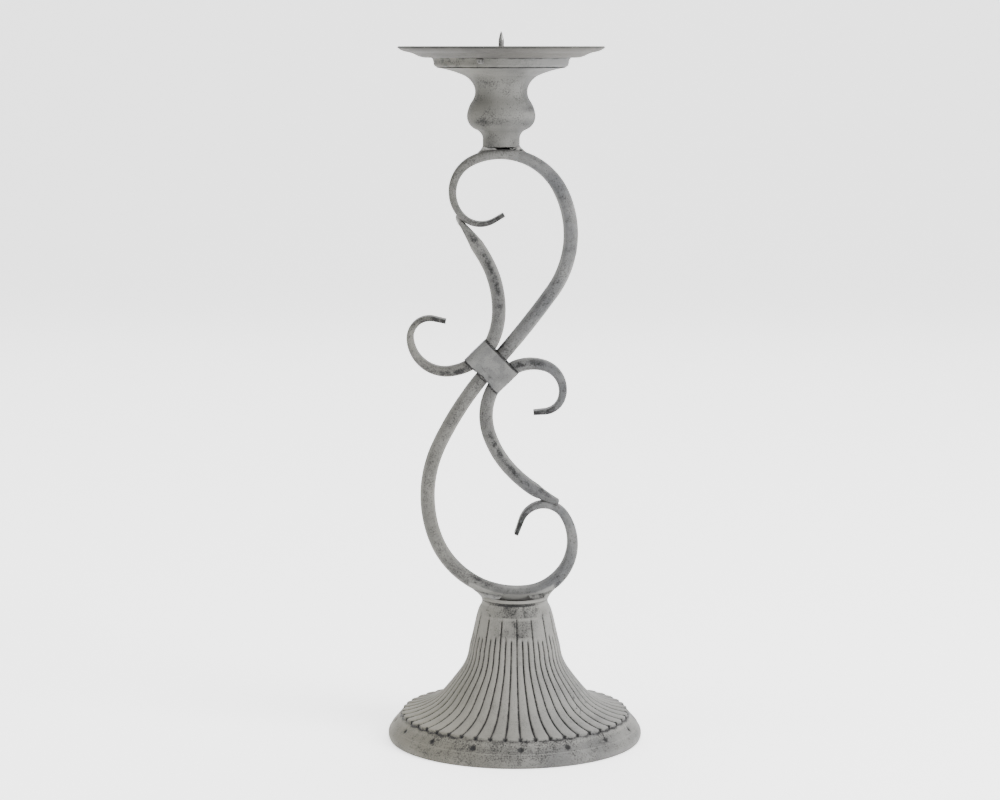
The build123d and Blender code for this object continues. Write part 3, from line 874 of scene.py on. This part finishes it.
# ---------------- baluster, cup, pan
def baluster():
    foot = [(9.95, baluster_low[2]), (10.0, 319.9), (9.7, 320.4), (9.8, 321.0)]
    stops = [(13.2, 328.5), (18.1, 336.4), (15.3, 343.8), (14.6, 351.8), (20.3, 357.2), (34.1, 361.0)]
    line = np.vstack([foot, tangent_arcs((9.8, 323.6), (0, 1), stops, 12)])
    outer = resample(line, lambda r, z: 0.55 if z < 325 else 0.9)

    def masks(turn, r, z, outside):
        x = np.cos(turn)
        front = np.clip(-np.sin(turn), 0, 1)
        patch = noise_round(turn, 16, z, 8.0, 62)
        # painted shade: a dark line where the foot meets the weld, a band under the bulb and a ring
        # under the cup
        dark = strongest(
            0.85 * hump(z, 319.5, 0.4) * front,
            0.26 + 0.24 * patch,
            0.66 * hump(z, 353, 5) * np.clip(0.35 - x, 0, 1) * front,
            0.62 * hump(z, 332.5, 3.4) * (0.75 + 0.5 * patch),
            0.55 * hump(z, 340, 3.0) * np.clip(x, 0, 1),
            0.80 * hump(r, 33.6, 0.7) * (z > 358),
        )
        # painted light on the bulb's widest band, right of the waist and on the flare's right
        light = strongest(
            0.6 * hump(z, 347, 5) * np.clip(x + 0.5, 0, 1) * (x < 0.8),
            0.4 * hump(z, 336.5, 2.0),
            0.5 * (z > 357) * np.clip(x + 0.4, 0, 1),
        )
        # painted shade down the left side and under the bulb
        light = light - 0.5 * np.clip(-x - 0.1, 0, 1) - 0.35 * hump(z, 328, 4)
        return np.where(outside > 0.6, dark, 0.8), np.where(outside > 0.6, light, 0)

    revolved("spun_baluster", outer, 1.0, PAN_X, 144, cup_paint, masks, "baluster",
             wobble=0.10, ceiling=cup_low[2], seed=61)


baluster()


def seat_cup():
    bottom, top = cup_low[2], cup_high[2]
    floor = np.array([(0.0, bottom), (20, bottom), (33.0, bottom)])
    wall = tangent_arcs((33.6, bottom), (1, 0), [(35.6, 363.1), (36.0, 365.2)], 10)
    wall = np.vstack([wall, (36.15, 365.6), (36.75, 366.0), (36.85, top)])
    outer = np.vstack([resample(floor, lambda r, z: 4.0), resample(wall, lambda r, z: 0.35)])

    def masks(turn, r, z, outside):
        x = np.cos(turn)
        ragged = noise_round(turn, 18, z, 2.0, 72)
        # painted shade where the cup sits on the flare, where its lip meets the pan, and down its left
        # side
        dark = strongest(
            0.85 * hump(z - 0.2 * ragged, bottom, 0.4) * (r > 32.5) * (0.8 + 0.6 * ragged),
            0.8 * hump(z, top - 0.1, 0.5) * (0.8 + 0.8 * ragged),
            0.52 * np.clip(0.35 - x, 0, 1) * (0.8 + 0.5 * ragged),
        )
        # painted highlight on the right of the wall
        light = 0.6 * np.clip(x + 0.4, 0, 1) * hump(z, 364, 1.3)
        return np.where(outside > 0.6, dark, 0.5), np.where(outside > 0.6, light, 0)

    revolved("pressed_seat_cup", outer, 0.9, PAN_X, 144, cup_paint, masks, "seat_cup",
             ceiling=pan_low[2], seed=71)


seat_cup()


def drip_pan():
    bottom = pan_low[2]
    floor = np.array([(1.5, bottom), (20, bottom), (38.8, bottom)])
    flare = tangent_arcs((39.4, bottom), (1, 0), [(44.9, 367.6), (49.7, 369.2), (54.75, 371.5)], 8)
    outer = np.vstack([resample(floor, lambda r, z: 3.0), resample(flare, lambda r, z: 0.9)])

    def masks(turn, r, z, outside):
        rim = hump(r, 54.95, 0.32)
        nick = noise_round(turn, 54, z, 9.0, 82)
        # painted shadow in the opening at the far left between the cup's lip and the pan
        gap_shadow = hump(r, 38.6, 1.0) * smooth_step((-np.cos(turn) - 0.90) / 0.08)
        below = strongest(rim * (0.9 + 0.5 * nick), 0.16 + 0.1 * np.sin(3 * turn + 1), 1.2 * gap_shadow)
        above = strongest(0.25 * hump(r, 41, 3), 0.8 * rim)
        # the right half painted lighter, as lit from the right
        return np.where(outside < 0.4, above, below), 0.3 * np.clip(np.cos(turn), 0, 1)

    revolved("drip_pan_piece", outer, 0.9, PAN_X, 180, pan_paint, masks, "drip_pan",
             wobble=0.06, seed=81)


drip_pan()


# ---------------- spike
def spike():
    low, high = spike_low[2], spike_high[2]
    outline = np.array([
        (0.0, low), (4.2, low), (4.5, low + 0.3), (4.5, low + 0.6), (4.3, low + 0.88),
        (1.6, low + 0.9), (1.45, low + 1.1), (1.43, low + 4), (1.45, low + 8), (1.43, 375.6),
        (1.36, 376.0), (1.0, 377.4), (0.55, 379.0), (0.22, high - 0.15), (0.0, high),
    ])
    outer = resample(outline, lambda r, z: 0.22 if z > 374 else 0.45)
    columns = 32
    angles = np.arange(columns) * 2 * pi / columns
    # eight shallow facets on the point
    pointed = smooth_step((outer[:, 1] - 375.6) / 1.0)[:, None]
    r = outer[:, 0][:, None] * (1 - 0.14 * pointed * np.cos(4 * angles + 0.6) ** 2)
    grid = round_axis(angles, r, outer[:, 1][:, None], PAN_X)
    plain = np.zeros(grid.shape[:2])
    faces = ring_faces(len(outer), columns)
    new_piece("candle_spike", grid, faces, steel, plain, plain, "spike")


spike()


# ---------------- welds
def weld(name, node, seed, dark_level, bumps=0.16):
    """A lumpy bead that fills the CAD weld's box."""
    low, high = box_mm(node)
    centre = (low + high) / 2
    ball = bmesh.new()
    bmesh.ops.create_icosphere(ball, subdivisions=5, radius=1.0)
    body = np.array([v.co for v in ball.verts])
    faces = [tuple(v.index for v in f.verts) for f in ball.faces]
    ball.free()
    cad = np.array([v.co for v in nodes[node].data.vertices]) / MM - centre
    spread = np.linalg.svd(cad - cad.mean(0), full_matrices=False)[2]
    body = (body * np.abs(cad @ spread.T).max(0)) @ spread
    lumps = noise_at(body, 2.6, seed)
    grains = noise_at(body, 0.9, seed + 1)
    body = body * (1 - bumps * np.abs(lumps) - 0.05 * np.abs(grains))[:, None]
    dark = np.maximum(np.clip(dark_level + 0.35 * lumps, 0, 1),
                      0.8 * smooth_step((-lumps - 0.28) / 0.2))
    light = 0.6 * smooth_step(lumps + 0.3)
    points = np.clip(body + centre, low, high)
    new_piece(name, points, faces, weld_paint, dark, light, node)


SECTIONS = 41  # of a run of weld metal


def fillet_weld(name, node, path, ring_x, ring_r, ring_z, side, spans, reach, above, seed,
                lumps, dark_level=0.1):
    """Weld metal run in between a round rim and the tube that crosses it, on one side (-1 left,
    1 right), from spans[0] degrees off the front round to spans[1]. reach is how far it runs out
    along the tube at the side, and above is 1 if the rim stands over the tube, -1 if under."""
    path = path[np.argsort(path[:, 0])]
    path_x, path_z, path_thick = path.T
    rows = []
    t = np.linspace(0, 1, 15)[:, None]
    turns = np.radians(np.linspace(spans[0], spans[1], SECTIONS))
    for k, turn in enumerate(turns):
        ease = sin(min(k / (SECTIONS - 1), 0.5) * pi) ** 0.35
        rim = np.array([ring_x + side * ring_r * sin(turn), -ring_r * cos(turn), ring_z])
        w = smooth_step(1 - abs(turn - pi / 2) / (pi / 2 - turns[0]))
        x = ring_x + side * (ring_r * sin(turn) + reach * w ** 1.4)
        z = np.interp(x, path_x, path_z)
        slope = np.interp(x + 0.5, path_x, path_z) - np.interp(x - 0.5, path_x, path_z)
        out = np.array([-slope, 0, 1.0]) / np.hypot(slope, 1.0) * above
        lean = radians(48 + 42 * w)
        thick = np.interp(x, path_x, path_thick)
        deep_y = thick + pi / 2 * (MAIN_TUBE - thick)
        front = np.array([0, -1.0 if turn < pi / 2 else 1.0, 0])
        foot = np.array([x, 0, z])
        foot = foot + 0.47 * (out * sin(lean) * thick + front * cos(lean) * deep_y)
        core = np.array([x * 0.9 + ring_x * 0.1, 0, z])
        corner = np.array([ring_x + (rim[0] - ring_x) * 0.94, rim[1] * 0.55, ring_z - above * 0.9])
        bend = 0.45 * (rim + foot) / 2 + 0.55 * corner
        under_rim = np.array([rim[0] * 0.8 + ring_x * 0.2, rim[1] * 0.5, ring_z])
        deep = core * 0.55 + under_rim * 0.45
        skin = (1 - t) ** 2 * rim + 2 * t * (1 - t) * bend + t ** 2 * foot
        skin = deep + (skin - deep) * (0.25 + 0.75 * ease)
        back = deep + (skin[::-1][2:-2:2] - deep) * 0.35
        rows.append(np.vstack([skin, back]))
    grid = np.array(rows)
    level = np.repeat([dark_level, 0.5], [len(skin), len(back)])
    arched = np.concatenate([2 * t[:, 0] * (1 - t[:, 0]), np.zeros(len(back))])
    bumps = noise_at(grid, 2.4, seed)
    grains = noise_at(grid, 0.8, seed + 1)
    away = grid - grid.mean(axis=1, keepdims=True)
    away /= np.maximum(np.linalg.norm(away, axis=2, keepdims=True), 1e-6)
    grid += away * (lumps * (bumps + 0.25 * grains) - 0.3 * lumps)[..., None]
    dark = np.maximum(np.clip(level + 0.4 * bumps, 0, 1),
                      lumps * 2.6 * smooth_step((-bumps - 0.22) / 0.2))
    light = arched * smooth_step(bumps + 0.6)
    faces = ring_faces(SECTIONS, grid.shape[1], "capped")
    new_piece(name, grid, faces, weld_paint, dark, light, node)


def run_of(half, keep):
    """(x, z, thickness) along the part of a half scroll that keep picks out."""
    points, _, marks, crush = half
    squeeze = np.clip((marks[-1] - marks) / crush, 0, 1)
    return np.column_stack([points, CRUSHED + (MAIN_TUBE - CRUSHED) * squeeze])[keep(points)]


def tube_welds():
    low_line = run_of(main_down, lambda p: (p[:, 1] < 110) & (np.abs(p[:, 0]) < 42))
    high_line = run_of(main_up, lambda p: p[:, 1] > 296)
    neck_r = (ring_high[0] - ring_low[0]) / 2 + 0.1
    neck_z = ring_low[2] + 1.0
    top_z = baluster_low[2]
    fillet_weld("neck_weld_piece_left", "neck_weld_left", low_line, 0.0, neck_r, neck_z,
                -1, (26, 180), 6.5, -1, 101, lumps=0.16)
    fillet_weld("neck_weld_piece_right", "neck_weld_right", low_line, 0.0, neck_r, neck_z,
                1, (26, 180), 5.0, -1, 103, lumps=0.16)
    fillet_weld("baluster_weld_piece_left", "baluster_weld_left", high_line, PAN_X, 9.9,
                top_z + 0.3, -1, (15, 180), 2.2, 1, 105, lumps=0.15)
    fillet_weld("baluster_weld_piece_right", "baluster_weld_right", high_line, PAN_X, 9.95,
                top_z + 0.5, 1, (28, 180), 3.2, 1, 107, lumps=0.5, dark_level=0.3)
    weld("upper_tip_bead", "upper_tip_weld", 105, dark_level=0.1)
    weld("lower_tip_bead", "lower_tip_weld", 106, dark_level=0.15)
    weld("pan_tack_bead", "pan_tack_weld", 107, bumps=0.3, dark_level=0.4)


tube_welds()


# ---------------- studio
SWEEP_R = 1.2  # of the curve between floor and backdrop
FLOOR_FRONT, FLOOR_BACK, SWEEP_TOP, SWEEP_HALF = -4.0, 2.2, 4.5, 5.0
CAMERA_AT = (-0.00803, -1.3844, 0.37175)
PITCH = 7.71  # degrees by which the camera looks down
LENS, SENSOR = 93.85, 36.0  # mm
LIGHTS = (  # name, place, target, size, power
    ("key_right", (1.5, -0.9, 1.1), (0, 0, 0.18), (0.9, 1.4), 85),
    ("fill_left", (-1.6, -0.5, 0.8), (0, 0, 0.18), (0.9, 1.4), 16),
    ("top", (0, 0.2, 2.0), (0, 0, 0.1), (1.6, 1.6), 45),
    ("back", (0, 1.8, 1.2), (0, 0, 0.2), (2.4, 1.2), 14),
    ("front", (-0.2, -1.9, 0.7), (0, 0, 0.2), (1.0, 1.0), 12),
)


def sweep():
    """A white floor that curves up into a backdrop, in metres."""
    paper = Shader("studio_floor").surface({
        "Base Color": (0.93, 0.93, 0.93), "Roughness": 0.9, "Specular IOR Level": 0.1,
        "Emission Color": (1, 1, 1), "Emission Strength": 1.2})
    rows = [(FLOOR_FRONT, 0.0), (FLOOR_BACK, 0.0)]
    for a in range(6, 91, 6):
        rows.append((FLOOR_BACK + SWEEP_R * sin(radians(a)), SWEEP_R - SWEEP_R * cos(radians(a))))
    rows.append((FLOOR_BACK + SWEEP_R, SWEEP_TOP))
    points = [(x, y, z) for y, z in rows for x in (-SWEEP_HALF, SWEEP_HALF)]
    faces = [(2 * i, 2 * i + 1, 2 * i + 3, 2 * i + 2) for i in range(len(rows) - 1)]
    mesh = bpy.data.meshes.new("studio_sweep")
    mesh.from_pydata(points, [], faces)
    mesh.polygons.foreach_set("use_smooth", [True] * len(faces))
    mesh.materials.append(paper)
    add_object("studio_sweep", mesh)


def area_light(name, place, target, size, power):
    data = bpy.data.lights.new(name, "AREA")
    data.shape = "RECTANGLE"
    data.size, data.size_y = size
    data.energy = power
    light = add_object(name, data)
    light.location = place
    light.rotation_euler = (Vector(target) - Vector(place)).to_track_quat("-Z", "Y").to_euler()


def studio():
    sweep()
    world = bpy.data.worlds.new("studio_world")
    bpy.context.scene.world = world
    world.use_nodes = True
    background = world.node_tree.nodes["Background"]
    background.inputs["Color"].default_value = (1, 1, 1, 1)
    background.inputs["Strength"].default_value = 0.62
    for light in LIGHTS:
        area_light(*light)
    data = bpy.data.cameras.new("camera")
    data.lens, data.sensor_width = LENS, SENSOR
    data.clip_start, data.clip_end = 0.05, 50.0
    camera = add_object("camera", data)
    camera.location = CAMERA_AT
    camera.rotation_euler = (radians(90 - PITCH), 0, 0)
    bpy.context.scene.camera = camera


studio()
